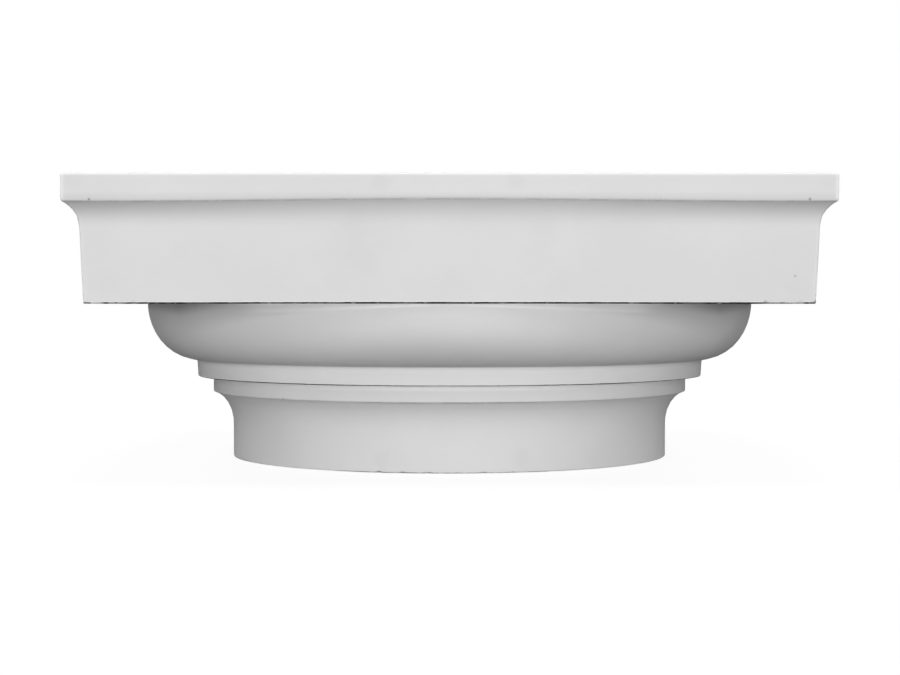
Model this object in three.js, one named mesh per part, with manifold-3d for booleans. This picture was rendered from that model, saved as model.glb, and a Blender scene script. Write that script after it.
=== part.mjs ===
// A plaster column capital of the plain Tuscan kind, cast in one piece, in millimetres with +Z up.
// A round neck flares through an apophyge into two flat annulets, one stepped out over the other.
// A full ovolo swells above them and carries a square abacus, whose four faces lean out a little
// as they rise and end in a cavetto and a square fillet.
// The origin is on the axis, in the flat underside of the neck that sits on the column shaft.

import * as THREE from "three";
import { mergeVertices, toCreasedNormals } from "three/addons/utils/BufferGeometryUtils.js";
import Module from "manifold-3d";

// Neck, a plain drum, and the apophyge, a part of a quarter ellipse that flares out over it
const NECK_RADIUS = 150;
const NECK_HEIGHT = 22.8;
const APOPHYGE_PROJECTION = 13.6;
const APOPHYGE_HEIGHT = 22;
const APOPHYGE_SWEEP_DEGREES = 78;

// Annulets, the upper one with a little draft on its face
const LOWER_ANNULET_HEIGHT = 10.4;
const UPPER_ANNULET_HEIGHT = 11.6;
const UPPER_ANNULET_STEP = 10.5;
const UPPER_ANNULET_DRAFT = 0.6;

// Ovolo, a full quarter ellipse, with a small hollow in the corner under it
const OVOLO_PROJECTION = 33.6;
const OVOLO_HEIGHT = 38.9;
const OVOLO_HOLLOW_RADIUS = 1.2;

// Abacus, square in plan, from its soffit up to its bearing face
const ABACUS_OVERHANG = 5.8;
const ABACUS_FACE_HEIGHT = 45.2;
const ABACUS_FACE_DRAFT = 1.8;
const CAVETTO_PROJECTION = 9.1;
const CAVETTO_HEIGHT = 15.1;
const FILLET_HEIGHT = 15.5;

// How far the drum is let up into the abacus, so that the two are one solid
const DRUM_LET_IN = 12;

// Facets round the drum, and along each curve of the profiles
const DRUM_SIDES = 96;
const APOPHYGE_STEPS = 6;
const HOLLOW_STEPS = 2;
const OVOLO_STEPS = 9;
const CAVETTO_STEPS = 5;
const SQUARE_SIDES = 4;

const PLASTER = new THREE.MeshStandardMaterial({ color: 0xdcdcda, roughness: 0.8, metalness: 0 });
const CREASE_ANGLE = THREE.MathUtils.degToRad(20);
const WELD_DISTANCE = 1e-4;

// Radii and half widths, each stepped out from the one below
const lowerAnnuletRadius = NECK_RADIUS + APOPHYGE_PROJECTION;
const upperAnnuletRadius = lowerAnnuletRadius + UPPER_ANNULET_STEP;
const ovoloFoot = upperAnnuletRadius + UPPER_ANNULET_DRAFT;
const ovoloRadius = ovoloFoot + OVOLO_PROJECTION;
const abacusFoot = ovoloRadius + ABACUS_OVERHANG;
const abacusHead = abacusFoot + ABACUS_FACE_DRAFT;
const filletFace = abacusHead + CAVETTO_PROJECTION;

// Levels above the underside, each stacked on the one below
const lowerAnnuletLevel = NECK_HEIGHT + APOPHYGE_HEIGHT;
const upperAnnuletLevel = lowerAnnuletLevel + LOWER_ANNULET_HEIGHT;
const ovoloLevel = upperAnnuletLevel + UPPER_ANNULET_HEIGHT;
const soffitLevel = ovoloLevel + OVOLO_HEIGHT;
const cavettoLevel = soffitLevel + ABACUS_FACE_HEIGHT;
const filletLevel = cavettoLevel + CAVETTO_HEIGHT;
const topLevel = filletLevel + FILLET_HEIGHT;

const wasm = await Module();
wasm.setup();

// A profile point, by its distance from the axis and its level.
function at(reach, level) {
  return new THREE.Vector2(reach, level);
}

// Points along a part of an ellipse, between two angles in radians.
function sweep(centre, wide, tall, from, to, steps) {
  const curve = new THREE.EllipseCurve(centre.x, centre.y, wide, tall, from, to, from > to);
  return curve.getPoints(steps);
}

// A profile turned round the upright axis. With four sides it is a square plan with mitred corners,
// and the profile's distances are then half widths across the flats.
function turned(profile, sides) {
  const square = sides === SQUARE_SIDES;
  const reach = square ? Math.SQRT2 : 1;
  const points = profile.map((point) => at(point.x * reach, point.y));
  const start = square ? Math.PI / sides : 0;
  return new THREE.LatheGeometry(points, sides, start).rotateX(Math.PI / 2);
}

// The flare runs out from the neck's face and is cut off where it meets the lower annulet.
function apophyge() {
  const swept = THREE.MathUtils.degToRad(APOPHYGE_SWEEP_DEGREES);
  const wide = APOPHYGE_PROJECTION / (1 - Math.cos(swept));
  const tall = APOPHYGE_HEIGHT / Math.sin(swept);
  const centre = at(NECK_RADIUS + wide, NECK_HEIGHT);
  return sweep(centre, wide, tall, Math.PI, Math.PI - swept, APOPHYGE_STEPS);
}

// The hollow turns out from the annulet's face into the ovolo's underside, and the ovolo rises
// from there to stand upright at the soffit.
function ovolo() {
  const hollowEnd = Math.acos(OVOLO_HOLLOW_RADIUS / OVOLO_PROJECTION);
  const start = soffitLevel - OVOLO_HEIGHT * Math.sin(hollowEnd);
  const hollowCentre = at(ovoloFoot + OVOLO_HOLLOW_RADIUS, start - OVOLO_HOLLOW_RADIUS);
  const hollow = sweep(
    hollowCentre, OVOLO_HOLLOW_RADIUS, OVOLO_HOLLOW_RADIUS, Math.PI, Math.PI / 2, HOLLOW_STEPS,
  );
  const swell = sweep(
    at(ovoloFoot, soffitLevel), OVOLO_PROJECTION, OVOLO_HEIGHT, -hollowEnd, 0, OVOLO_STEPS,
  );
  return [...hollow, ...swell.slice(1)];
}

// A circular hollow, upright where it leaves the abacus face and cut off by the fillet's underside.
function cavetto() {
  const swept = 2 * Math.atan(CAVETTO_PROJECTION / CAVETTO_HEIGHT);
  const radius = CAVETTO_HEIGHT / Math.sin(swept);
  const centre = at(abacusHead + radius, cavettoLevel);
  return sweep(centre, radius, radius, Math.PI, Math.PI - swept, CAVETTO_STEPS);
}

// Everything round: neck, apophyge, annulets and ovolo.
function drum() {
  const head = soffitLevel + DRUM_LET_IN;
  return turned([
    at(0, 0),
    at(NECK_RADIUS, 0),
    ...apophyge(),
    at(lowerAnnuletRadius, upperAnnuletLevel),
    at(upperAnnuletRadius, upperAnnuletLevel),
    ...ovolo(),
    at(ovoloRadius, head),
    at(0, head),
  ], DRUM_SIDES);
}

// Everything square: soffit, face, cavetto, fillet and the bearing face on top.
function abacus() {
  return turned([
    at(0, soffitLevel),
    at(abacusFoot, soffitLevel),
    ...cavetto(),
    at(filletFace, topLevel),
    at(0, topLevel),
  ], SQUARE_SIDES);
}

// A closed geometry as a solid, without the flat triangles that a turned profile has on its axis.
function toSolid(geometry) {
  geometry.deleteAttribute("normal");
  geometry.deleteAttribute("uv");
  const merged = mergeVertices(geometry, WELD_DISTANCE);
  const corners = merged.index.array;
  const kept = [];
  for (let i = 0; i < corners.length; i += 3) {
    const [a, b, c] = corners.slice(i, i + 3);
    if (a !== b && b !== c && c !== a) {
      kept.push(a, b, c);
    }
  }
  return new wasm.Manifold(
    new wasm.Mesh({
      numProp: 3,
      vertProperties: new Float32Array(merged.attributes.position.array),
      triVerts: new Uint32Array(kept),
    }),
  );
}

// A joined solid as a geometry again, shaded smooth round its curves and crisp at its arrises.
function toGeometry(solid) {
  const mesh = solid.getMesh();
  const geometry = new THREE.BufferGeometry();
  geometry.setAttribute("position", new THREE.BufferAttribute(mesh.vertProperties, 3));
  geometry.setIndex(new THREE.BufferAttribute(mesh.triVerts, 1));
  return toCreasedNormals(geometry, CREASE_ANGLE);
}

const casting = toSolid(drum()).add(toSolid(abacus()));

const capital = new THREE.Mesh(toGeometry(casting), PLASTER);
capital.name = "capital";

const model = new THREE.Group();
model.add(capital);

export default model;
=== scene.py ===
# A plain Tuscan column capital, cast in plaster in one piece, set on a pale studio floor.

import math
import random
from dataclasses import dataclass

import bpy
import numpy as np
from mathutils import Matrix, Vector, noise


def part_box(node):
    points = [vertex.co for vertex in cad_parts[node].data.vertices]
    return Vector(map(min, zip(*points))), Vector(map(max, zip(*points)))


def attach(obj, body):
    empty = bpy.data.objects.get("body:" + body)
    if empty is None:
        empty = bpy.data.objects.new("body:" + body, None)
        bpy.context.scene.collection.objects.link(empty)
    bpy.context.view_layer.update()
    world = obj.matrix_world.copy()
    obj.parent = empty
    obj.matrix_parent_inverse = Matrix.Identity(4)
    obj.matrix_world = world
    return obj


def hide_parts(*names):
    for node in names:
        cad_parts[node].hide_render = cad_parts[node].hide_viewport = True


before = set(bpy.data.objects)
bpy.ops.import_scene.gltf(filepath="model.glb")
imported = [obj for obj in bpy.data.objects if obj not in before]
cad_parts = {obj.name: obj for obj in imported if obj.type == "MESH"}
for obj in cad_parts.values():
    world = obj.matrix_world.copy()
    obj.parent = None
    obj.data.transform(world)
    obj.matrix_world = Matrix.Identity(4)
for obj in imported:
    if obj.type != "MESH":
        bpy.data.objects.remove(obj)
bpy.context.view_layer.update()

# Sizes in millimetres, as in the solid. The overall half width and height come from the frame.
MM = 0.001
_, solid_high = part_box("capital")
FILLET_FACE = solid_high[0] / MM
TOP_LEVEL = solid_high[2] / MM

# Neck, and the apophyge that flares out over it
NECK_RADIUS = 150
NECK_HEIGHT = 22.8
APOPHYGE_PROJECTION = 13.6
APOPHYGE_HEIGHT = 22
APOPHYGE_SWEEP_DEGREES = 78

# Annulets, and the ovolo with a small hollow in the corner under it
LOWER_ANNULET_HEIGHT = 10.4
UPPER_ANNULET_HEIGHT = 11.6
UPPER_ANNULET_STEP = 10.5
UPPER_ANNULET_DRAFT = 0.6
OVOLO_PROJECTION = 33.6
OVOLO_HEIGHT = 38.9
OVOLO_HOLLOW_RADIUS = 1.2

# Abacus
ABACUS_FACE_DRAFT = 1.8
CAVETTO_PROJECTION = 9.1
CAVETTO_HEIGHT = 15.1
FILLET_HEIGHT = 15.5

# Radii and half widths. The abacus is worked out inwards from the fillet's face.
lower_annulet_radius = NECK_RADIUS + APOPHYGE_PROJECTION
upper_annulet_radius = lower_annulet_radius + UPPER_ANNULET_STEP
ovolo_foot = upper_annulet_radius + UPPER_ANNULET_DRAFT
ovolo_radius = ovolo_foot + OVOLO_PROJECTION
abacus_head = FILLET_FACE - CAVETTO_PROJECTION
abacus_foot = abacus_head - ABACUS_FACE_DRAFT

# Levels above the underside. Those over the soffit are worked out downwards from the top.
lower_annulet_level = NECK_HEIGHT + APOPHYGE_HEIGHT
upper_annulet_level = lower_annulet_level + LOWER_ANNULET_HEIGHT
ovolo_level = upper_annulet_level + UPPER_ANNULET_HEIGHT
soffit_level = ovolo_level + OVOLO_HEIGHT
fillet_level = TOP_LEVEL - FILLET_HEIGHT
cavetto_level = fillet_level - CAVETTO_HEIGHT

# How far each arris is eased by wear and by the mould
CUT_EASE = 0.7
LOWER_ANNULET_EASE = 0.6
INNER_CORNER_EASE = 0.5
UPPER_ANNULET_EASE = 0.9
SOFFIT_EASE = 0.9
FILLET_EASE = 1.5
TOP_EASE = 2.0
UPRIGHT_ARRIS_RADIUS = 1.6

# Steps along a curve of the profile, along its small hollow, and round an eased arris
CURVE_STEPS = 60
HOLLOW_STEPS = 10
EASE_STEPS = 12

# Rows of the mesh. A row's gap grows with its distance from the nearest corner of the profile.
FINEST_ROW = 0.34
ROW_GROWTH = 0.45
WIDEST_ROW = 6
GRADING_SAMPLES = 8000
FLAT_ROW_SHARES = (0, 0.35, 0.7, 0.88)
SOFFIT_ROW_SHARES = (0.08, 0.2, 0.4, 0.65, 0.88)
SOFFIT_BORDER = 4

# Columns of the mesh on each side and round the upright arris at its end
SIDES = 4
HALF_SIDE_DEGREES = 360 / SIDES / 2
COLUMNS_A_SIDE = 96
ARRIS_COLUMNS = 4
ARRIS_TURN_DEGREES = 0.6
LEAST_COLUMN_GAP = 0.4


def sweep(centre, wide, tall, start, end, steps=CURVE_STEPS):
    """Points along a part of an ellipse, between two angles in degrees."""
    turns = np.radians(np.linspace(start, end, steps + 1))
    return np.column_stack([centre[0] + wide * np.cos(turns), centre[1] + tall * np.sin(turns)])


def apophyge():
    """The flare runs out from the neck's face and is cut off where it meets the lower annulet."""
    swept = math.radians(APOPHYGE_SWEEP_DEGREES)
    wide = APOPHYGE_PROJECTION / (1 - math.cos(swept))
    tall = APOPHYGE_HEIGHT / math.sin(swept)
    return sweep((NECK_RADIUS + wide, NECK_HEIGHT), wide, tall, 180, 180 - APOPHYGE_SWEEP_DEGREES)


def ovolo():
    """The hollow over the annulet, then the swell up to the soffit."""
    hollow_end = math.acos(OVOLO_HOLLOW_RADIUS / OVOLO_PROJECTION)
    start = soffit_level - OVOLO_HEIGHT * math.sin(hollow_end)
    hollow_centre = (ovolo_foot + OVOLO_HOLLOW_RADIUS, start - OVOLO_HOLLOW_RADIUS)
    hollow = sweep(hollow_centre, OVOLO_HOLLOW_RADIUS, OVOLO_HOLLOW_RADIUS, 180, 90, HOLLOW_STEPS)
    centre = (ovolo_foot, soffit_level)
    swell = sweep(centre, OVOLO_PROJECTION, OVOLO_HEIGHT, -math.degrees(hollow_end), 0)
    return np.vstack([hollow, swell[1:]])


def cavetto():
    """A circular hollow, upright where it leaves the abacus face and cut off by the fillet."""
    swept = 2 * math.atan(CAVETTO_PROJECTION / CAVETTO_HEIGHT)
    radius = CAVETTO_HEIGHT / math.sin(swept)
    return sweep((abacus_head + radius, cavetto_level), radius, radius, 180, 180 - math.degrees(swept))


def lengths_along(points):
    steps = np.linalg.norm(np.diff(points, axis=0), axis=1)
    return np.concatenate([[0], np.cumsum(steps)])


def read_along(points, places):
    """The points at some distances along a line of points."""
    along = lengths_along(points)
    return np.column_stack([np.interp(places, along, points[:, axis]) for axis in (0, 1)])


def stretch(points, start, end):
    """The part of a line of points between two distances along it."""
    along = lengths_along(points)
    inside = along[(along > start) & (along < end)]
    return read_along(points, np.concatenate([[start], inside, [end]]))


def eased(runs, eases):
    """Joins the runs of a profile and rounds the corner between each two. Gives the points, and
    how far along them the corners are."""
    runs = [np.array(run, float) for run in runs]
    starts = [0, *eases]
    ends = [*eases, 0]
    points = []
    middles = []
    for i, run in enumerate(runs):
        points.extend(stretch(run, starts[i], lengths_along(run)[-1] - ends[i]))
        if ends[i]:
            corner = run[-1]
            leave = points[-1]
            arrive = read_along(runs[i + 1], [ends[i]])[0]
            for share in np.linspace(0, 1, EASE_STEPS + 1)[1:-1]:
                first = leave + (corner - leave) * share
                second = corner + (arrive - corner) * share
                points.append(first + (second - first) * share)
            middles.append(len(points) - EASE_STEPS // 2)
    points = np.array(points)
    return points, lengths_along(points)[middles]


def graded(points, corners):
    """Picks the rows along a profile, close together at its corners."""
    fine = np.linspace(0, lengths_along(points)[-1], GRADING_SAMPLES)
    nearest = np.min(np.abs(fine[:, None] - np.array(corners)[None, :]), axis=1)
    gaps = np.minimum(WIDEST_ROW, FINEST_ROW + ROW_GROWTH * nearest)
    passed = np.concatenate([[0], np.cumsum(np.diff(fine) / gaps[1:])])
    count = math.ceil(passed[-1])
    return read_along(points, np.interp(np.linspace(0, passed[-1], count + 1), passed, fine))


def drum_rows():
    """The round part's profile, from a little inside the cut edge up to the soffit."""
    inset = NECK_RADIUS * FLAT_ROW_SHARES[-1]
    points, corners = eased(
        [
            [(inset, 0), (NECK_RADIUS, 0)],
            np.vstack([[(NECK_RADIUS, 0)], apophyge()]),
            [(lower_annulet_radius, lower_annulet_level), (lower_annulet_radius, upper_annulet_level)],
            [(lower_annulet_radius, upper_annulet_level), (upper_annulet_radius, upper_annulet_level)],
            np.vstack([[(upper_annulet_radius, upper_annulet_level)], ovolo()]),
        ],
        [CUT_EASE, LOWER_ANNULET_EASE, INNER_CORNER_EASE, UPPER_ANNULET_EASE],
    )
    corners = np.append(corners, lengths_along(points)[-1])
    return graded(points, corners)


def abacus_rows():
    """The square part's profile, from the soffit's border up to a little inside the top arris."""
    inset = FILLET_FACE * FLAT_ROW_SHARES[-1]
    points, corners = eased(
        [
            [(abacus_foot - SOFFIT_BORDER, soffit_level), (abacus_foot, soffit_level)],
            np.vstack([[(abacus_foot, soffit_level)], cavetto()]),
            [(FILLET_FACE, fillet_level), (FILLET_FACE, TOP_LEVEL)],
            [(FILLET_FACE, TOP_LEVEL), (inset, TOP_LEVEL)],
        ],
        [SOFFIT_EASE, FILLET_EASE, TOP_EASE],
    )
    return graded(points, corners)


def all_rows():
    """Every row from the underside's middle to the top's middle: its reach where it is round, its
    reach where it is square, its level, and how square it is."""
    rows = [(NECK_RADIUS * share, 0, 0, 0) for share in FLAT_ROW_SHARES[:-1]]
    rows += [(reach, 0, level, 0) for reach, level in drum_rows()]
    border = abacus_foot - SOFFIT_BORDER
    rows += [(ovolo_radius, border, soffit_level, share) for share in SOFFIT_ROW_SHARES]
    rows += [(0, reach, level, 1) for reach, level in abacus_rows()]
    rows += [(0, FILLET_FACE * share, TOP_LEVEL, 1) for share in FLAT_ROW_SHARES[-2::-1]]
    return np.array(rows)


class Arris:
    """An edge that can chip. Its corner point on the profile, and the way out of the solid."""

    def __init__(self, reach, level, out, square):
        self.reach = reach
        self.level = level
        self.out = np.array(out) / np.linalg.norm(out)
        self.square = square

    def share(self, place):
        """A place along it as a share of half a side, from -1 to 1."""
        if self.square:
            return place / (self.reach - UPRIGHT_ARRIS_RADIUS)
        return place / (HALF_SIDE_DEGREES - ARRIS_TURN_DEGREES)


ARRISES = {
    "cut": Arris(NECK_RADIUS, 0, (1, -1), square=False),
    "lower_annulet": Arris(lower_annulet_radius, lower_annulet_level, (1, -1), square=False),
    "upper_annulet": Arris(upper_annulet_radius, upper_annulet_level, (1, -1), square=False),
    "soffit": Arris(abacus_foot, soffit_level, (1, -1), square=True),
    "fillet": Arris(FILLET_FACE, fillet_level, (1, -0.6), square=True),
    "top": Arris(FILLET_FACE, TOP_LEVEL, (1, 1), square=True),
}


@dataclass
class Chip:
    """A small bite out of an arris. Its place is in millimetres from the middle of a side, or in
    degrees where the arris is round, and the bite is an ellipsoid let in to its depth."""
    arris: str
    side: int
    place: float
    half_length: float
    radius: float
    depth: float


# The front's chips along each arris: place, half length, radius and depth
FRONT = 0
FRONT_CHIPS = {
    "soffit": [
        (-212, 2.6, 2.2, 0.9),
        (-203, 2.0, 1.2, 0.5),
        (-196, 1.6, 1.2, 0.5),
        (-184, 4.2, 1.8, 0.6),
        (-176, 1.5, 1.2, 0.5),
        (-160, 1.2, 1.0, 0.3),
        (-128, 1.0, 1.0, 0.4),
        (-105, 2.2, 1.3, 0.6),
        (-87, 1.2, 1.1, 0.4),
        (-70, 1.0, 1.0, 0.4),
        (-56, 2.0, 1.5, 0.8),
        (-42, 1.3, 1.3, 0.6),
        (-14, 1.6, 1.4, 0.7),
        (13.5, 1.0, 1.3, 0.7),
        (31, 1.2, 1.2, 0.5),
        (57, 1.5, 1.3, 0.6),
        (79, 1.2, 1.0, 0.4),
        (106, 1.6, 1.3, 0.5),
        (132, 1.2, 1.0, 0.4),
        (158, 1.5, 1.2, 0.4),
        (185, 3.6, 2.0, 0.8),
        (195, 2.0, 1.6, 0.6),
        (204, 4.5, 2.4, 0.8),
        (213.5, 3.4, 3.0, 1.3),
    ],
    "fillet": [
        (-150, 1.5, 1.0, 0.3),
        (122, 1.3, 1.0, 0.3),
    ],
    "cut": [
        (-17, 2.6, 1.6, 0.7),
        (-11, 3.4, 1.7, 0.7),
        (-5, 4.4, 2.0, 0.9),
        (2, 3.0, 1.5, 0.6),
        (8, 3.8, 1.8, 0.8),
        (15, 2.4, 1.5, 0.6),
    ],
    "upper_annulet": [
        (0.3, 1.3, 1.2, 0.6),
        (-30, 1.2, 1.1, 0.5),
    ],
    "lower_annulet": [
        (-40, 1.4, 1.2, 0.5),
        (1, 4.0, 1.0, 0.35),
    ],
}

# How many chips each arris has on each of the other sides
HIDDEN_SIDE_CHIPS = {
    "soffit": 7,
    "fillet": 2,
    "top": 3,
    "cut": 4,
    "upper_annulet": 1,
    "lower_annulet": 1,
}

# Those chips are drawn between these radii, lengths and depths, the last two as shares of the
# radius, and no nearer to a corner than this share of half a side
DRAWN_RADII = (1.0, 1.9)
DRAWN_LENGTHS = (0.9, 2.2)
DRAWN_DEPTHS = (0.3, 0.5)
FURTHEST_SHARE = 0.97
CHIP_SEED = 7


def front_chips():
    chips = []
    for arris, bites in FRONT_CHIPS.items():
        chips += [Chip(arris, FRONT, *sizes) for sizes in bites]
    return chips


def hidden_side_chips():
    draw = random.Random(CHIP_SEED)
    chips = []
    for side in range(1, SIDES):
        for arris, count in HIDDEN_SIDE_CHIPS.items():
            furthest = FURTHEST_SHARE / ARRISES[arris].share(1)
            for _ in range(count):
                radius = draw.uniform(*DRAWN_RADII)
                half_length = radius * draw.uniform(*DRAWN_LENGTHS)
                depth = radius * draw.uniform(*DRAWN_DEPTHS)
                place = draw.uniform(-furthest, furthest)
                chips.append(Chip(arris, side, place, half_length, radius, depth))
    return chips


# Columns close in round each chip, by these multiples of its half length
CHIP_COLUMNS = (-1.1, -0.6, -0.2, 0.2, 0.6, 1.1)


def column_shares(chips, side):
    """Where the flat columns of one side stand, from -1 to 1 across it."""
    wanted = list(np.linspace(-1, 1, COLUMNS_A_SIDE + 1))
    for chip in chips:
        if chip.side == side:
            arris = ARRISES[chip.arris]
            half_side = abacus_foot if arris.square else arris.reach * math.pi / SIDES
            middle = arris.share(chip.place)
            wanted += [middle + chip.half_length * step / half_side for step in CHIP_COLUMNS]
    kept = [-1.0]
    for share in sorted(wanted):
        if kept[-1] + LEAST_COLUMN_GAP / abacus_foot < share < 1:
            kept.append(share)
    kept.append(1.0)
    return kept


def turn(points, side):
    """Turns plan points by quarter turns, from the front side to another."""
    angle = 2 * math.pi * side / SIDES
    cosine = math.cos(angle)
    sine = math.sin(angle)
    x, y = points.T
    return np.column_stack([x * cosine - y * sine, x * sine + y * cosine])


class Columns:
    """For each column: its direction where the casting is round, its place on a unit square, and
    the square's outward direction there."""

    def __init__(self, chips):
        parts = [self.one_side(column_shares(chips, side), side) for side in range(SIDES)]
        self.round, self.square, self.outward = (np.vstack(group) for group in zip(*parts))

    def one_side(self, shares, side):
        flat_degrees = HALF_SIDE_DEGREES - ARRIS_TURN_DEGREES
        angles = [share * flat_degrees for share in shares]
        square = [(share, -1) for share in shares]
        outward = [(0, -1)] * len(shares)
        for step in range(1, ARRIS_COLUMNS):
            done = step / ARRIS_COLUMNS
            turned = math.radians(90 * done)
            angles.append(flat_degrees + 2 * ARRIS_TURN_DEGREES * done)
            square.append((1, -1))
            outward.append((math.sin(turned), -math.cos(turned)))
        angles = np.radians(angles)
        round_way = np.column_stack([np.sin(angles), -np.cos(angles)])
        return [turn(np.array(way, float), side) for way in (round_way, square, outward)]


def surface(rows, columns):
    """Points and outward directions of every row at every column, in millimetres."""
    radius, half_width, level, squareness = (rows[:, i, None, None] for i in range(4))
    corner = np.minimum(UPRIGHT_ARRIS_RADIUS, half_width)
    square = columns.square * (half_width - corner) + columns.outward * corner
    plan = (1 - squareness) * radius * columns.round + squareness * square
    points = np.concatenate([plan, np.broadcast_to(level, plan.shape[:2] + (1,))], axis=2)

    reach = (1 - squareness) * radius + squareness * half_width
    lean = np.column_stack([np.gradient(level.ravel()), -np.gradient(reach.ravel())])
    lean /= np.linalg.norm(lean, axis=1, keepdims=True)
    way = (1 - squareness) * columns.round + squareness * columns.outward
    way = way / np.linalg.norm(way, axis=2, keepdims=True)
    rise = np.broadcast_to(lean[:, 1, None, None], way.shape[:2] + (1,))
    out = np.concatenate([way * lean[:, 0, None, None], rise], axis=2)
    return points.reshape(-1, 3), out.reshape(-1, 3)


@dataclass
class Bow:
    """How low an edge of the abacus hangs in the middle of a side and at its corners, where along the
    side it turns from one to the other, and how far above and below the edge it is felt."""
    level: float
    middle: float
    corner: float
    start: float
    end: float
    fade: float

    def hang(self, along):
        share = np.clip((along - self.start) / (self.end - self.start), 0, 1)
        eased_share = share * share * (3 - 2 * share)
        return self.middle + (self.corner - self.middle) * eased_share


SOFFIT_BOW = Bow(soffit_level, middle=0.0, corner=0.3, start=32, end=170, fade=6)
FILLET_BOW = Bow(fillet_level, middle=-0.7, corner=0.8, start=0, end=200, fade=10)

# Unevenness of the casting: how far it strays, and over what distance
WARPS = ((0.22, 90.0), (0.07, 22.0))

# How ragged a chip's wall is, over what distance, and how deep in it a point counts as all broken
CHIP_RAGGEDNESS = 0.35
CHIP_GRAIN = 0.9
CHIP_FULL_DEPTH = 0.35

# The mesh's attribute that tells the plaster where it is broken
CHIPPED = "chipped"


def unevenness(points):
    strayed = np.zeros(len(points))
    for height, size in WARPS:
        strayed += [height * noise.noise(Vector(point / size)) for point in points]
    return strayed


def droop(points):
    """How far each point hangs low with the edges of the abacus."""
    along, outward = np.sort(np.abs(points[:, :2]), axis=1).T
    at_edge = np.clip((outward - abacus_foot) / SOFFIT_BORDER + 1, 0, 1)
    low = np.zeros(len(points))
    for bow in (SOFFIT_BOW, FILLET_BOW):
        felt = np.clip(1 - np.abs(points[:, 2] - bow.level) / bow.fade, 0, 1)
        low += bow.hang(along) * at_edge * felt
    return low


def chip_middle(chip):
    """The middle of a chip's ellipsoid, and the direction that its arris runs in there."""
    arris = ARRISES[chip.arris]
    if arris.square:
        plan = np.array([[chip.place, -arris.reach]])
        along = np.array([[1.0, 0.0]])
        way = np.array([[0.0, -1.0]])
    else:
        angle = math.radians(chip.place)
        plan = arris.reach * np.array([[math.sin(angle), -math.cos(angle)]])
        along = np.array([[math.cos(angle), math.sin(angle)]])
        way = plan / arris.reach
    plan, along, way = (turn(each, chip.side)[0] for each in (plan, along, way))
    lift = chip.radius - chip.depth
    middle = np.append(plan + way * arris.out[0] * lift, arris.level + arris.out[1] * lift)
    return middle, np.append(along, 0)


def bite(points, chipped, chip):
    """Pushes the points inside a chip's ellipsoid out to its wall, which is a little ragged, and notes
    which points are on the broken face."""
    middle, along = chip_middle(chip)
    reach = max(chip.half_length, chip.radius) * (1 + CHIP_RAGGEDNESS)
    near = np.nonzero(np.linalg.norm(points - middle, axis=1) < reach)[0]
    for i in near:
        offset = points[i] - middle
        lengthwise = offset @ along
        across = np.linalg.norm(offset - along * lengthwise)
        inside = math.hypot(lengthwise / chip.half_length, across / chip.radius)
        inside *= 1 + CHIP_RAGGEDNESS * noise.noise(Vector(points[i] / CHIP_GRAIN))
        if 0 < inside < 1:
            points[i] = middle + offset / inside
            chipped[i] = max(chipped[i], min(1, (1 - inside) * chip.radius / CHIP_FULL_DEPTH))


def casting_faces(row_count, column_count):
    """Quads between the rows, and a fan over each middle."""
    grid = np.arange(row_count * column_count).reshape(row_count, column_count) + 1
    right = np.roll(grid, -1, axis=1)
    quads = np.stack([grid[:-1], right[:-1], right[1:], grid[1:]], axis=-1).reshape(-1, 4)
    bottom = [(0, after, before) for before, after in zip(grid[0], right[0])]
    last = row_count * column_count + 1
    top = [(last, before, after) for before, after in zip(grid[-1], right[-1])]
    return [*map(tuple, quads.tolist()), *bottom, *top]


def cast_capital():
    chips = front_chips() + hidden_side_chips()
    columns = Columns(chips)
    rows = all_rows()
    points, out = surface(rows[1:-1], columns)
    points += out * unevenness(points)[:, None]
    points[:, 2] -= droop(points)
    chipped = np.zeros(len(points))
    for chip in chips:
        bite(points, chipped, chip)
    np.clip(points[:, 2], 0, TOP_LEVEL, out=points[:, 2])
    points = np.vstack([[(0, 0, 0)], points, [(0, 0, TOP_LEVEL)]])
    chipped = np.concatenate([[0], chipped, [0]])

    mesh = bpy.data.meshes.new("capital_cast")
    faces = casting_faces(len(rows) - 2, len(columns.round))
    mesh.from_pydata((points * MM).tolist(), [], faces)
    mesh.attributes.new(CHIPPED, "FLOAT", "POINT").data.foreach_set("value", chipped)
    mesh.shade_smooth()
    piece = bpy.data.objects.new("capital_cast", mesh)
    bpy.context.collection.objects.link(piece)
    return piece


class Reading:
    """A node's output, as a value that varies over a surface. Sums on it add Math nodes."""

    def __init__(self, finish, socket):
        self.finish = finish
        self.socket = socket

    def __add__(self, other):
        return self.finish.math("ADD", self, other)

    __radd__ = __add__

    def __sub__(self, other):
        return self.finish.math("SUBTRACT", self, other)

    def __rsub__(self, other):
        return self.finish.math("SUBTRACT", other, self)

    def __mul__(self, other):
        return self.finish.math("MULTIPLY", self, other)

    __rmul__ = __mul__

    def __truediv__(self, other):
        return self.finish.math("DIVIDE", self, other)

    def __abs__(self):
        return self.finish.math("ABSOLUTE", self, 0.0)


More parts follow.
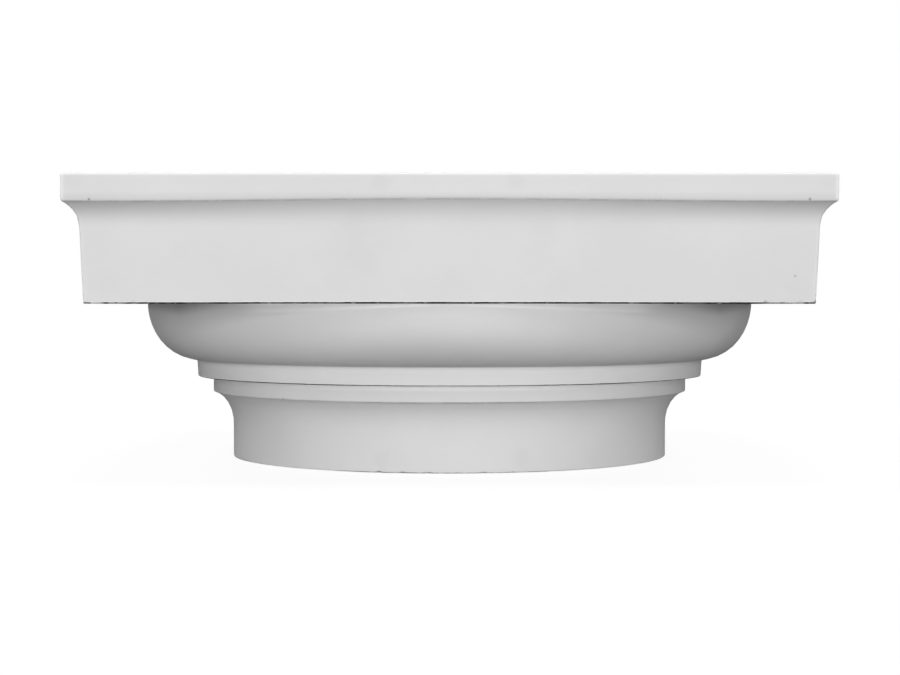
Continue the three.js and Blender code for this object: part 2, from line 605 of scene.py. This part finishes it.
class Finish:
    """The nodes of one material, and the place on its piece that they are worked out from."""

    def __init__(self, name):
        self.material = bpy.data.materials.new(name)
        self.material.use_nodes = True
        self.tree = self.material.node_tree
        self.tree.nodes.clear()
        self.place = self.node("ShaderNodeTexCoord", {}, {}, "Object")

    def node(self, kind, settings, inputs, output=0):
        """Adds a node: its settings first, then the values or links of its sockets."""
        made = self.tree.nodes.new(kind)
        for name, value in settings.items():
            setattr(made, name, value)
        for name, value in inputs.items():
            if isinstance(value, Reading):
                self.tree.links.new(value.socket, made.inputs[name])
            else:
                made.inputs[name].default_value = value
        return Reading(self, made.outputs[output]) if made.outputs else None

    def math(self, operation, first, second):
        return self.node("ShaderNodeMath", {"operation": operation}, {0: first, 1: second})

    def larger(self, first, second):
        return self.math("MAXIMUM", first, second)

    def smaller(self, first, second):
        return self.math("MINIMUM", first, second)

    def length(self, vector):
        return self.node("ShaderNodeVectorMath", {"operation": "LENGTH"}, {0: vector}, "Value")

    def distance(self, first, second):
        settings = {"operation": "DISTANCE"}
        return self.node("ShaderNodeVectorMath", settings, {0: first, 1: second}, "Value")

    def stretched(self, vector, factors):
        return self.node("ShaderNodeVectorMath", {"operation": "MULTIPLY"}, {0: vector, 1: factors})

    def ramp(self, value, start, end, low=0.0, high=1.0):
        """Eases from low to high as the value goes from start to end."""
        return self.node(
            "ShaderNodeMapRange",
            {"interpolation_type": "SMOOTHSTEP"},
            {"Value": value, "From Min": start, "From Max": end, "To Min": low, "To Max": high},
        )

    def past(self, value, base, reach, low=0.0, high=1.0):
        """A ramp whose start and end are given as distances past a base."""
        start, end = reach
        return self.ramp(value, base + start, base + end, low, high)

    def blend(self, amount, under, over):
        """Lays one colour over another."""
        return self.node("ShaderNodeMix", {"data_type": "RGBA"}, {0: amount, 6: under, 7: over}, 2)

    def clouds(self, place, size_mm, detail, roughness, swirl=0.0):
        """Soft noise with lumps of about a size in millimetres, round its middle value."""
        inputs = {"Vector": place, "Scale": 1 / (size_mm * MM), "Detail": detail}
        inputs.update({"Roughness": roughness, "Distortion": swirl})
        return self.node("ShaderNodeTexNoise", {"noise_dimensions": "3D"}, inputs)

    def shade(self, inputs):
        """Adds the shader, from the values or links of its sockets, and gives the material."""
        shader = self.node("ShaderNodeBsdfPrincipled", {}, inputs)
        self.node("ShaderNodeOutputMaterial", {}, {"Surface": shader})
        return self.material


def grey(value):
    return (value, value, value, 1.0)


PLASTER = grey(0.80)
PALE_PLASTER = grey(0.815)
DULL_PLASTER = grey(0.785)
# Painted light: lifts the shade under the overhangs and on the upright arrises, and paints highlights
PAINTED_LIGHT = grey(0.95)
# Soil for thumb marks and trowel sweeps, and painted shade in the hollows and under the abacus
SOIL_AND_SHADE = grey(0.35)
# Grime for the chips, and with painted shade for the dark lines along the arrises
GRIME_AND_SHADE = grey(0.03)
# Painted shade in the pinholes
PIT_SHADE = grey(0.42)

# Noise in the plaster: size of the lumps in millimetres, octaves of detail, roughness, and swirl
CLOUD = (70, 4, 0.55)
MOTTLE = (9, 3, 0.6)
GRAIN = (1.1, 2, 0.6)
WAVER = (6, 4, 0.7)
CATCH = (15, 3, 0.7)
SWEEP = (170, 4, 0.6, 2.5)
DRAG = (45, 2, 0.5)

# How much closer together the noise is along x, y and z
SWEEP_STRETCH = (1, 2.6, 1)
DRAG_STRETCH = (1, 1, 14)

# The middle value of noise, and the part of its range that each kind uses
NOISE_MIDDLE = 0.5
CLOUD_RANGE = (0.35, 0.65)
MOTTLE_RANGE = (0.3, 0.7)
CATCH_RANGE = (0.42, 0.54)

# How strongly the mottle colours the plaster, how rough it makes it, and how little it shines
MOTTLE_SHARE = 0.35
ROUGHNESS = (0.78, 0.92)
SPECULAR = 0.25

# Half the height over which a band of colour ends, in the open and in a corner
EDGE_BLUR = 0.3
CORNER_BLUR = 0.2

# Painted shade in the cavetto, where the fillet's overhang shades it: how far below its foot and
# below the fillet it starts and is full, and its strength in the middle of a side and towards the
# corners
CAVETTO_SHADE_FOOT = 1
CAVETTO_SHADE_HEAD = 3
CAVETTO_SHADE_ALONG = (40, 220)
CAVETTO_SHADE = (0.14, 0.37)

# Painted shade on the fillet's lip, darker towards its lower edge, on the ovolo's underside in the
# middle of each side, and in its lower corner. It fades in between the two distances of a rise or
# reach, past the edge that it lies on.
LIP_SHADE_RISE = (5, 1)
LIP_SHADE = 0.13
OVOLO_SHADE_RISE = (26, 8)
OVOLO_SHADE_ALONG = (115, 10)
OVOLO_SHADE = 0.17
CORNER_SHADE_REACH = (9, 3)
CORNER_SHADE_HEIGHT = 2
CORNER_SHADE = 0.16

# Painted light below three corners, lifting the shade under each overhang: each one's level, how far
# from it the light starts, is full and ends, and how strong it is
PAINTED_LIGHT_CORNERS = (
    (ovolo_level, -5, -1.5, 0.0, 0.9),
    (upper_annulet_level, -4.5, -0.8, -0.4, 0.95),
    (lower_annulet_level, -4.5, -0.8, -0.4, 0.7),
)

# Painted shade on the ovolo's shoulders under the abacus's corners, deepest this far out to each side,
# and how it thins with its depth under the soffit and with the distance from there
SHOULDER_OUT = 172
SHOULDER_DEPTH = 10
SHOULDER_SLOPE = 0.16
SHOULDER_SHADE = 0.85

# Painted light between the shoulders, lifting the soffit's shadow, thin in the middle, on the steep
# part of the ovolo's face
HEAD_LIGHT_WIDTH = (132, 110)
HEAD_LIGHT_DEPTH = (1.8, -0.5)
HEAD_LIGHT_SLOPE = 0.045
HEAD_LIGHT_REACH = (20, 26)

# Painted light on the upright arrises, lifting the shade of their rounding: how near to them it comes,
# how far it stays under the top and over the soffit, and its strength below the fillet and on it
ARRIS_LIGHT_WIDTH = (-3.2, -0.4)
ARRIS_LIGHT_TOP = (-0.3, -1.3)
ARRIS_LIGHT_FOOT = 1
ARRIS_LIGHT = (0.3, 0.95)
FILLET_RISE = (-1, 1)

# Faint thumb marks on the front: where each is, how far it spreads, and how much it darkens
SMUDGES = [
    ((-40, -225, 176), 8, 0.05),
    ((38.5, -225, 176), 8, 0.05),
    ((-55, -216, 150), 13, 0.035),
    ((55, -216, 150), 13, 0.035),
    ((-52, -215, 133), 13, 0.03),
    ((50, -215, 132), 13, 0.03),
    ((-66, -214, 119), 9, 0.02),
    ((64, -214, 120), 9, 0.02),
    ((-202, -214, 118), 12, 0.03),
    ((203, -214, 116), 11, 0.03),
    ((-218, -225, 177), 8, 0.03),
    ((218, -225, 177), 8, 0.035),
    ((-43, -143.5, 8), 8, 0.05),
    ((45, -143, 8.5), 8, 0.05),
]

# Small dark dots: two at the ends of the fillet's lower arris, and one low on the face
DOTS = [
    ((-208, -225, fillet_level), 1.2, 0.9),
    ((208, -225, fillet_level), 1.2, 0.95),
    ((201.5, -215, 121.8), 1.2, 0.5),
]

# A mark fades in between these shares of its spread
MARK_FADE = (1.0, 0.3)


@dataclass
class Line:
    """A dark line of painted shade and grime along an arris, from a little under it to a height above
    it.
    Its strength runs with a noise between its strongest and where it is thin, and a painted highlight
    may run along its top."""
    level: float
    height: float
    strongest: float
    thin: float
    painted_highlight: float = 0.0


SOFFIT_LINE = Line(soffit_level, height=0.95, strongest=1.0, thin=0.85, painted_highlight=0.9)
ANNULET_LINE = Line(upper_annulet_level, height=0.55, strongest=1.0, thin=0.9, painted_highlight=0.6)
FOOT_LINE = Line(lower_annulet_level, height=0.2, strongest=0.22, thin=0.06)
CUT_LINE = Line(0, height=0.5, strongest=0.75, thin=0.35)
FILLET_LINE = Line(fillet_level, height=0.1, strongest=0.19, thin=0.08)

# How far a line reaches down, how soft its edges are, and how far it wavers up and down
LINE_DROP = 0.9
LINE_BLUR = 0.15
LINE_WAVER = 0.35

# Where the painted highlight over a line rises and falls away, past the line's height
HIGHLIGHT_RISE = (-0.1, 0.25)
HIGHLIGHT_FALL = (0.3, 0.8)

# Where each line runs: outside the ovolo, outside the lower annulet, and in the middle of each side.
# The line under the abacus is broken towards its ends, and follows half of the edge's bow.
SOFFIT_LINE_REACH = (1.5, 3.5)
ANNULET_LINE_INSET = 2
ANNULET_LINE_EDGE = 3
FOOT_LINE_ALONG = (75, 15)
CUT_LINE_ALONG = (80, 52)
BROKEN_ALONG = (178, 202)
BROKEN_SHARE = 0.75
SOFFIT_HANG_SHARE = 0.5

# How far a line's painted shade and grime is taken off a chip with it, and how much grime gathers on
# the broken face
CHIP_CLEANED = 0.6
CHIP_GRIME = (0.1, 0.4)

# Painted highlight on the top arris, and the struck face inside it, by height and by distance in
TOP_HIGHLIGHT_RISE = (-1.6, -0.6)
TOP_HIGHLIGHT_INSET = (-5, -2)
STRUCK_RISE = (-1.0, -0.5)
STRUCK_INSET = (-2, -7)
SWEEP_SOIL = 0.07

# Pinholes, darkened with painted shade: cell size, chance and size of one, both as shares of a cell,
# and how dark it is
PIT_SPACING = 17
PIT_CHANCE = (0.8, 1.1)
PIT_STRUCK_CHANCE = 0.4
PIT_SIZE = (0.0, 0.03)
PIT_EDGE = (-0.008, 0.006)
PIT_DARKNESS = 0.5

# Relief of the plaster, in metres
GRAIN_RELIEF = 0.00003
MOTTLE_RELIEF = 0.0001
CLOUD_RELIEF = 0.0003
DRAG_RELIEF = 0.00004
PIT_DEPTH = 0.0004
SWEEP_RELIEF = 0.0012


class Plaster(Finish):
    """Dry gypsum plaster off the mould: nearly even, with faint clouds and thumb marks, fine grain, a
    few pinholes, the lines of the running mould, and grime on the chips. It carries painted shade in
    the hollows, on the ovolo's underside and shoulders and in the pinholes, dark lines of painted shade
    and grime along the arrises, and painted light under the overhangs, on the upright arrises and as
    highlights along the top arris and two of the lines. Its colour is laid on coat by coat, in the
    order that cast_plaster gives."""

    def __init__(self, name):
        super().__init__(name)
        x, y, height = (
            self.node("ShaderNodeSeparateXYZ", {}, {"Vector": self.place}, axis) for axis in "XYZ"
        )
        flat = self.node("ShaderNodeCombineXYZ", {}, {"X": x, "Y": y})
        self.level = height / MM
        self.radius = self.length(flat) / MM
        self.sideways = abs(x) / MM
        self.outward = self.larger(abs(x), abs(y)) / MM
        self.along = self.smaller(abs(x), abs(y)) / MM

        self.cloud = self.clouds(self.place, *CLOUD)
        self.mottle = self.clouds(self.place, *MOTTLE)
        self.waver = (self.clouds(self.place, *WAVER) - NOISE_MIDDLE) * LINE_WAVER
        self.catch = self.ramp(self.clouds(self.place, *CATCH), *CATCH_RANGE)
        self.chipped = self.node("ShaderNodeAttribute", {"attribute_name": CHIPPED}, {}, "Fac")

        self.colour = self.blend(self.ramp(self.cloud, *CLOUD_RANGE), DULL_PLASTER, PALE_PLASTER)
        self.lay(self.ramp(self.mottle, *MOTTLE_RANGE) * MOTTLE_SHARE, PLASTER)

    def lay(self, amount, paint):
        self.colour = self.blend(amount, self.colour, paint)

    def above(self, level, blur=EDGE_BLUR):
        return self.ramp(self.level, level - blur, level + blur)

    def below(self, level, blur=EDGE_BLUR):
        return 1 - self.above(level, blur)

    def hang(self, bow, share=1.0):
        """How low a bowed edge hangs here, or a share of that."""
        return self.ramp(self.along, bow.start, bow.end, bow.middle * share, bow.corner * share)

    def paint_shade_in_hollows(self):
        """Painted shade in the hollow under the fillet, along the fillet's lip, on the ovolo's
        underside and in the corner at its foot.
        """
        hung_level = self.level + self.hang(FILLET_BOW)
        on_fillet = self.ramp(hung_level, fillet_level - EDGE_BLUR, fillet_level + EDGE_BLUR)
        foot = cavetto_level - CAVETTO_SHADE_FOOT
        head = fillet_level - CAVETTO_SHADE_HEAD
        hollow = self.ramp(self.level, foot, head) * (1 - on_fillet)
        hollow = hollow * self.ramp(self.along, *CAVETTO_SHADE_ALONG, *CAVETTO_SHADE)
        lip = self.past(self.level, fillet_level, LIP_SHADE_RISE) * on_fillet * LIP_SHADE
        under = self.past(self.level, ovolo_level, OVOLO_SHADE_RISE) * self.above(ovolo_level)
        under = under * self.ramp(self.along, *OVOLO_SHADE_ALONG, 0.0, OVOLO_SHADE)
        corner = self.above(ovolo_level) * self.below(ovolo_level + CORNER_SHADE_HEIGHT)
        corner = corner * self.past(self.radius, ovolo_foot, CORNER_SHADE_REACH) * CORNER_SHADE
        self.lay(self.larger(self.larger(hollow, lip), self.larger(under, corner)), SOIL_AND_SHADE)

    def paint_light_in_corners(self):
        """Painted light that lifts the shade in the corner over the upper annulet, and in those under
        both.
        """
        for corner, start, full, end, strength in PAINTED_LIGHT_CORNERS:
            lifted = self.past(self.level, corner, (start, full)) * self.below(corner + end, CORNER_BLUR)
            self.lay(lifted * strength, PAINTED_LIGHT)

    def paint_light_and_shade_under_soffit(self):
        """Under the soffit, painted shade on the ovolo's shoulders and painted light between them."""
        depth = soffit_level - self.level
        from_shoulder = abs(self.sideways - SHOULDER_OUT)
        shoulders = self.ramp(depth + from_shoulder * SHOULDER_SLOPE, SHOULDER_DEPTH, 0)
        self.lay(shoulders * self.below(soffit_level) * SHOULDER_SHADE, SOIL_AND_SHADE)
        between = self.ramp(self.sideways, *HEAD_LIGHT_WIDTH) * self.below(soffit_level)
        between = between * self.ramp(depth - self.sideways * HEAD_LIGHT_SLOPE, *HEAD_LIGHT_DEPTH)
        self.lay(between * self.past(self.radius, ovolo_foot, HEAD_LIGHT_REACH), PAINTED_LIGHT)

    def light_upright_arrises(self):
        """Painted light on the upright arrises of the abacus, most of all on those of the fillet."""
        lit_arris = self.ramp(self.along - self.outward, *ARRIS_LIGHT_WIDTH)
        lit_arris = lit_arris * self.past(self.level, TOP_LEVEL, ARRIS_LIGHT_TOP)
        lit_arris = lit_arris * self.past(self.level, fillet_level, FILLET_RISE, *ARRIS_LIGHT)
        self.lay(lit_arris * self.above(soffit_level + ARRIS_LIGHT_FOOT), PAINTED_LIGHT)

    def smudge(self):
        for centre, spread, strength in SMUDGES + DOTS:
            away = self.distance(self.place, [value * MM for value in centre])
            mark = self.ramp(away / (spread * MM) + (self.mottle - NOISE_MIDDLE), *MARK_FADE)
            self.lay(mark * strength, SOIL_AND_SHADE)

    def draw_line(self, line, where=1.0, low=0.0):
        """A dark line of painted shade and grime along an arris, where a mask lets it, and as low as
        its edge hangs. It is thin where the noise is low."""
        lift = self.level - line.level + self.waver + low
        dark = self.ramp(lift, -LINE_DROP - LINE_BLUR, LINE_BLUR - LINE_DROP)
        dark = dark * (1 - self.ramp(lift, line.height - LINE_BLUR, line.height + LINE_BLUR))
        if line.painted_highlight:
            painted_highlight = self.past(lift, line.height, HIGHLIGHT_RISE)
            painted_highlight = painted_highlight * (1 - self.past(lift, line.height, HIGHLIGHT_FALL))
            self.lay(painted_highlight * line.painted_highlight * where, PAINTED_LIGHT)
        strength = self.catch * (line.strongest - line.thin) + line.thin
        self.lay(dark * strength * where * (1 - self.chipped * CHIP_CLEANED), GRIME_AND_SHADE)

    def draw_lines(self):
        # Dark lines of painted shade and grime along the arrises, with painted highlights over two of
        # them
        broken = self.ramp(self.along, *BROKEN_ALONG) * (1 - self.catch) * BROKEN_SHARE
        abacus = self.past(self.radius, ovolo_radius, SOFFIT_LINE_REACH) * (1 - broken)
        inner = lower_annulet_radius + ANNULET_LINE_INSET
        outer = upper_annulet_radius - ANNULET_LINE_EDGE
        self.draw_line(SOFFIT_LINE, abacus, self.hang(SOFFIT_BOW, SOFFIT_HANG_SHARE))
        self.draw_line(ANNULET_LINE, self.ramp(self.radius, inner, outer))
        self.draw_line(FOOT_LINE, self.ramp(self.along, *FOOT_LINE_ALONG))
        self.draw_line(CUT_LINE, self.ramp(self.along, *CUT_LINE_ALONG))
        self.draw_line(FILLET_LINE, low=self.hang(FILLET_BOW))

    def highlight_top_arris(self):
        # Painted highlight along the top arris
        arris = self.past(self.level, TOP_LEVEL, TOP_HIGHLIGHT_RISE)
        self.lay(arris * self.past(self.outward, FILLET_FACE, TOP_HIGHLIGHT_INSET), PAINTED_LIGHT)

    def darken_chips(self):
        least, more = CHIP_GRIME
        self.lay(self.chipped * (least + more * self.catch), GRIME_AND_SHADE)

    def trowel_top(self):
        """The top is struck off and trowelled, which leaves sweeps."""
        self.struck = self.past(self.level, TOP_LEVEL, STRUCK_RISE)
        self.struck = self.struck * self.past(self.outward, FILLET_FACE, STRUCK_INSET)
        self.sweeps = self.clouds(self.stretched(self.place, SWEEP_STRETCH), *SWEEP)
        self.lay(self.struck * self.ramp(self.sweeps, *CLOUD_RANGE) * SWEEP_SOIL, SOIL_AND_SHADE)

    def open_pinholes(self):
        """Pinholes here and there, and more of them where the top was struck off, darkened with painted
        shade.
        """
        cell = {"Vector": self.place, "Scale": 1 / (PIT_SPACING * MM), "Randomness": 1.0}
        nearest = self.node("ShaderNodeTexVoronoi", {"feature": "F1"}, cell, "Distance")
        pick = self.node("ShaderNodeTexVoronoi", {"feature": "F1"}, cell, "Color")
        chance = self.node("ShaderNodeSeparateColor", {}, {"Color": pick}, "Red")
        size = self.ramp(chance + self.struck * PIT_STRUCK_CHANCE, *PIT_CHANCE, *PIT_SIZE)
        self.pit = 1 - self.ramp(nearest - size, *PIT_EDGE)
        self.lay(self.pit * PIT_DARKNESS, PIT_SHADE)

    def relief(self):
        """Grain, mottle and clouds, level marks drawn by the running mould, pinholes and sweeps."""
        grain = self.clouds(self.place, *GRAIN)
        drag = self.clouds(self.stretched(self.place, DRAG_STRETCH), *DRAG)
        height = grain * GRAIN_RELIEF + self.mottle * MOTTLE_RELIEF + self.cloud * CLOUD_RELIEF
        height = height + drag * DRAG_RELIEF - self.pit * PIT_DEPTH
        return height + self.sweeps * self.struck * SWEEP_RELIEF


def cast_plaster():
    plaster = Plaster("cast_plaster")
    plaster.paint_shade_in_hollows()
    plaster.paint_light_in_corners()
    plaster.paint_light_and_shade_under_soffit()
    plaster.light_upright_arrises()
    plaster.smudge()
    plaster.draw_lines()
    plaster.highlight_top_arris()
    plaster.darken_chips()
    plaster.trowel_top()
    plaster.open_pinholes()
    bump = {"Strength": 1.0, "Distance": 1.0, "Height": plaster.relief()}
    return plaster.shade({
        "Base Color": plaster.colour,
        "Roughness": plaster.ramp(plaster.mottle, *MOTTLE_RANGE, *ROUGHNESS),
        "Normal": plaster.node("ShaderNodeBump", {}, bump),
        "Specular IOR Level": SPECULAR,
    })


# The studio, in metres: a pale floor that sweeps up into a wall all round, out of the lights' way
FLOOR_RINGS = (0.0, 1.0, 2.2)
FLOOR_RADIUS = 3.4
COVE_RADIUS = 1.2
COVE_STEPS = 16
WALL_HEIGHT = 4.2
CEILING_RISE = 0.6
STAGE_SEGMENTS = 96
FLOOR_DROP = 0.0004

# The sheet is lit from behind, less so close to the casting, where it takes its faint shadow
NEAR_GLOW = grey(0.90)
FAR_GLOW = grey(1.0)
NEAR_PAINT = grey(0.16)
FAR_PAINT = grey(0.0)
NEAR_TO_FAR = (0.3, 1.4)


def stage_profile():
    """Reach and level from the middle of the floor, up the wall, to the middle of the ceiling."""
    profile = [(reach, 0.0) for reach in FLOOR_RINGS]
    for angle in np.radians(np.linspace(0, 90, COVE_STEPS + 1)):
        reach = FLOOR_RADIUS + COVE_RADIUS * math.sin(angle)
        profile.append((reach, COVE_RADIUS * (1 - math.cos(angle))))
    profile.append((FLOOR_RADIUS + COVE_RADIUS, WALL_HEIGHT))
    profile.append((0.0, WALL_HEIGHT + CEILING_RISE))
    return profile


def stage():
    profile = stage_profile()
    points = []
    for reach, level in profile:
        for angle in np.linspace(0, 2 * math.pi, STAGE_SEGMENTS, endpoint=False):
            points.append((reach * math.cos(angle), reach * math.sin(angle), level - FLOOR_DROP))
    faces = []
    for row in range(len(profile) - 1):
        below = row * STAGE_SEGMENTS
        above = below + STAGE_SEGMENTS
        for i in range(STAGE_SEGMENTS):
            j = (i + 1) % STAGE_SEGMENTS
            faces.append((below + i, above + i, above + j, below + j))
    mesh = bpy.data.meshes.new("studio_floor")
    mesh.from_pydata(points, [], faces)
    mesh.shade_smooth()
    floor = bpy.data.objects.new("studio_floor", mesh)
    bpy.context.collection.objects.link(floor)
    floor.visible_diffuse = False
    floor.visible_glossy = False
    floor.visible_shadow = False
    floor.data.materials.append(pale_floor())


def pale_floor():
    finish = Finish("pale_floor")
    away = finish.ramp(finish.length(finish.place), *NEAR_TO_FAR)
    material = finish.shade({
        "Base Color": finish.blend(away, NEAR_PAINT, FAR_PAINT),
        "Emission Color": finish.blend(away, NEAR_GLOW, FAR_GLOW),
        "Emission Strength": 1.0,
        "Roughness": 1.0,
        "Specular IOR Level": 0.0,
    })
    material.cycles.emission_sampling = "NONE"
    return material


# Softboxes, alike before and behind: the elevation in degrees and the power in watts of each kind
KEY = (0, 42.0)
HIGH = (35, 5)
SIDE = (10, 7.2)
SIDE_HIGH = (50, 14)
OVERHEAD = (90, 14)
SOFTBOX_SIZE = 1.2
SOFTBOX_DISTANCE = 2.6
AMBIENT = 0.075


def softbox(name, azimuth, elevation, power):
    """A soft light that faces the casting. Azimuth 0 is in front, 90 to the right."""
    light = bpy.data.lights.new(name, "AREA")
    light.shape = "SQUARE"
    light.size = SOFTBOX_SIZE
    light.energy = power
    lamp = bpy.data.objects.new(name, light)
    bpy.context.collection.objects.link(lamp)
    round_by = math.radians(azimuth)
    up_by = math.radians(elevation)
    plan = math.cos(up_by)
    way = Vector((math.sin(round_by) * plan, -math.cos(round_by) * plan, math.sin(up_by)))
    middle = Vector((0, 0, TOP_LEVEL / 2 * MM))
    lamp.location = middle + way * SOFTBOX_DISTANCE
    lamp.rotation_euler = (-way).to_track_quat("-Z", "Y").to_euler()
    lamp.visible_camera = False


def lights():
    for azimuth in (0, 180):
        softbox(f"key_{azimuth}", azimuth, *KEY)
    for azimuth in (-30, 30, 150, 210):
        softbox(f"high_{azimuth}", azimuth, *HIGH)
    for azimuth in (-90, 90):
        softbox(f"side_{azimuth}", azimuth, *SIDE)
        softbox(f"side_high_{azimuth}", azimuth, *SIDE_HIGH)
    softbox("overhead", 0, *OVERHEAD)
    world = bpy.data.worlds.new("studio")
    world.use_nodes = True
    world.node_tree.nodes["Background"].inputs["Color"].default_value = grey(1.0)
    world.node_tree.nodes["Background"].inputs["Strength"].default_value = AMBIENT
    bpy.context.scene.world = world


# The photograph's viewpoint: how far the camera stands from the axis, its height, its angle of
# view, and where in the 900 x 675 picture the axis and the camera's own level come
PICTURE_WIDTH = 900
PICTURE_HEIGHT = 675
CAMERA_DISTANCE = 1293.75
CAMERA_HEIGHT = 111.5
FOCAL_PIXELS = 1850.1
AXIS_X = 449.5
LEVEL_Y = 293.6
SENSOR_WIDTH = 36.0
CLIP_START = 0.05
CLIP_END = 50


def camera():
    view = bpy.data.cameras.new("camera")
    view.sensor_width = SENSOR_WIDTH
    view.lens = FOCAL_PIXELS / PICTURE_WIDTH * SENSOR_WIDTH
    view.clip_start = CLIP_START
    view.clip_end = CLIP_END
    stand = bpy.data.objects.new("camera", view)
    bpy.context.collection.objects.link(stand)
    down = math.atan((PICTURE_HEIGHT / 2 - LEVEL_Y) / FOCAL_PIXELS)
    right = math.atan((PICTURE_WIDTH / 2 - AXIS_X) / FOCAL_PIXELS)
    stand.location = (0, -CAMERA_DISTANCE * MM, CAMERA_HEIGHT * MM)
    stand.rotation_euler = (math.pi / 2 - down, 0, -right)
    bpy.context.scene.camera = stand


casting = cast_capital()
casting.data.materials.append(cast_plaster())
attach(casting, "root")
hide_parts("capital")

stage()
lights()
camera()
bpy.context.scene.view_settings.view_transform = "Standard"
